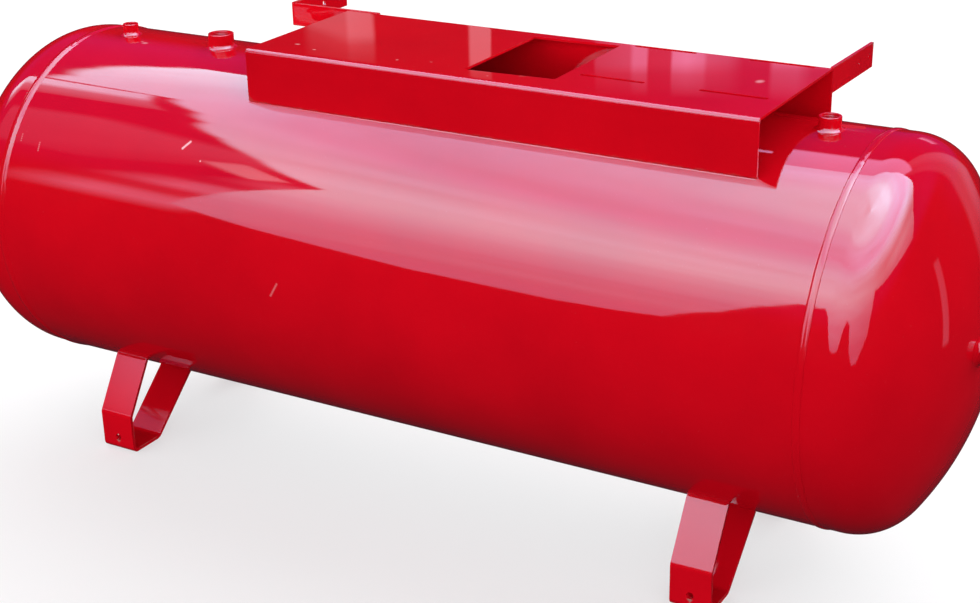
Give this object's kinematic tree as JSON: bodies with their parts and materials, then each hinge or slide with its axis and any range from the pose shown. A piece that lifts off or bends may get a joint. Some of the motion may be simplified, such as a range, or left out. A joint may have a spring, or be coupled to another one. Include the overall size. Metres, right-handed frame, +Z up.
{
  "type": "horizontal pressure tank",
  "caption": "Horizontal welded steel air receiver with domed ends, threaded sockets, bent feet and a folded platform on top for a pump and motor.",
  "frame": {"origin": "on the floor, under the middle of the whole outline seen from above; the vessel's own axis runs along X, 19.0 mm towards -Y from it, because the guard brackets reach further back than the vessel does", "axes": "+X along the vessel towards the end where the platform's motor slots are, +Y to the rear, where the guard brackets point, +Z up"},
  "size_m": [1.8382, 0.6402, 0.7635],
  "materials": {
    "red_enamel": "high-gloss red enamel over welded steel"
  },
  "bodies": {
    "root": {"drain_socket": "red_enamel", "drain_socket_weld": "red_enamel", "foot_front_left": "red_enamel", "foot_front_left_weld": "red_enamel", "foot_front_right": "red_enamel", "foot_front_right_weld": "red_enamel", "foot_rear_left": "red_enamel", "foot_rear_left_weld": "red_enamel", "foot_rear_right": "red_enamel", "foot_rear_right_weld": "red_enamel", "girth_weld_left": "red_enamel", "girth_weld_right": "red_enamel", "guard_bracket_left": "red_enamel", "guard_bracket_left_weld": "red_enamel", "guard_bracket_right": "red_enamel", "guard_bracket_right_weld": "red_enamel", "head_left": "red_enamel", "head_right": "red_enamel", "head_socket_left": "red_enamel", "head_socket_left_weld": "red_enamel", "head_socket_right": "red_enamel", "head_socket_right_weld": "red_enamel", "platform": "red_enamel", "platform_weld_front": "red_enamel", "platform_weld_rear": "red_enamel", "shell": "red_enamel", "top_socket_large": "red_enamel", "top_socket_large_weld": "red_enamel", "top_socket_right": "red_enamel", "top_socket_right_weld": "red_enamel", "top_socket_small": "red_enamel", "top_socket_small_weld": "red_enamel"}
  },
  "joints": []
}
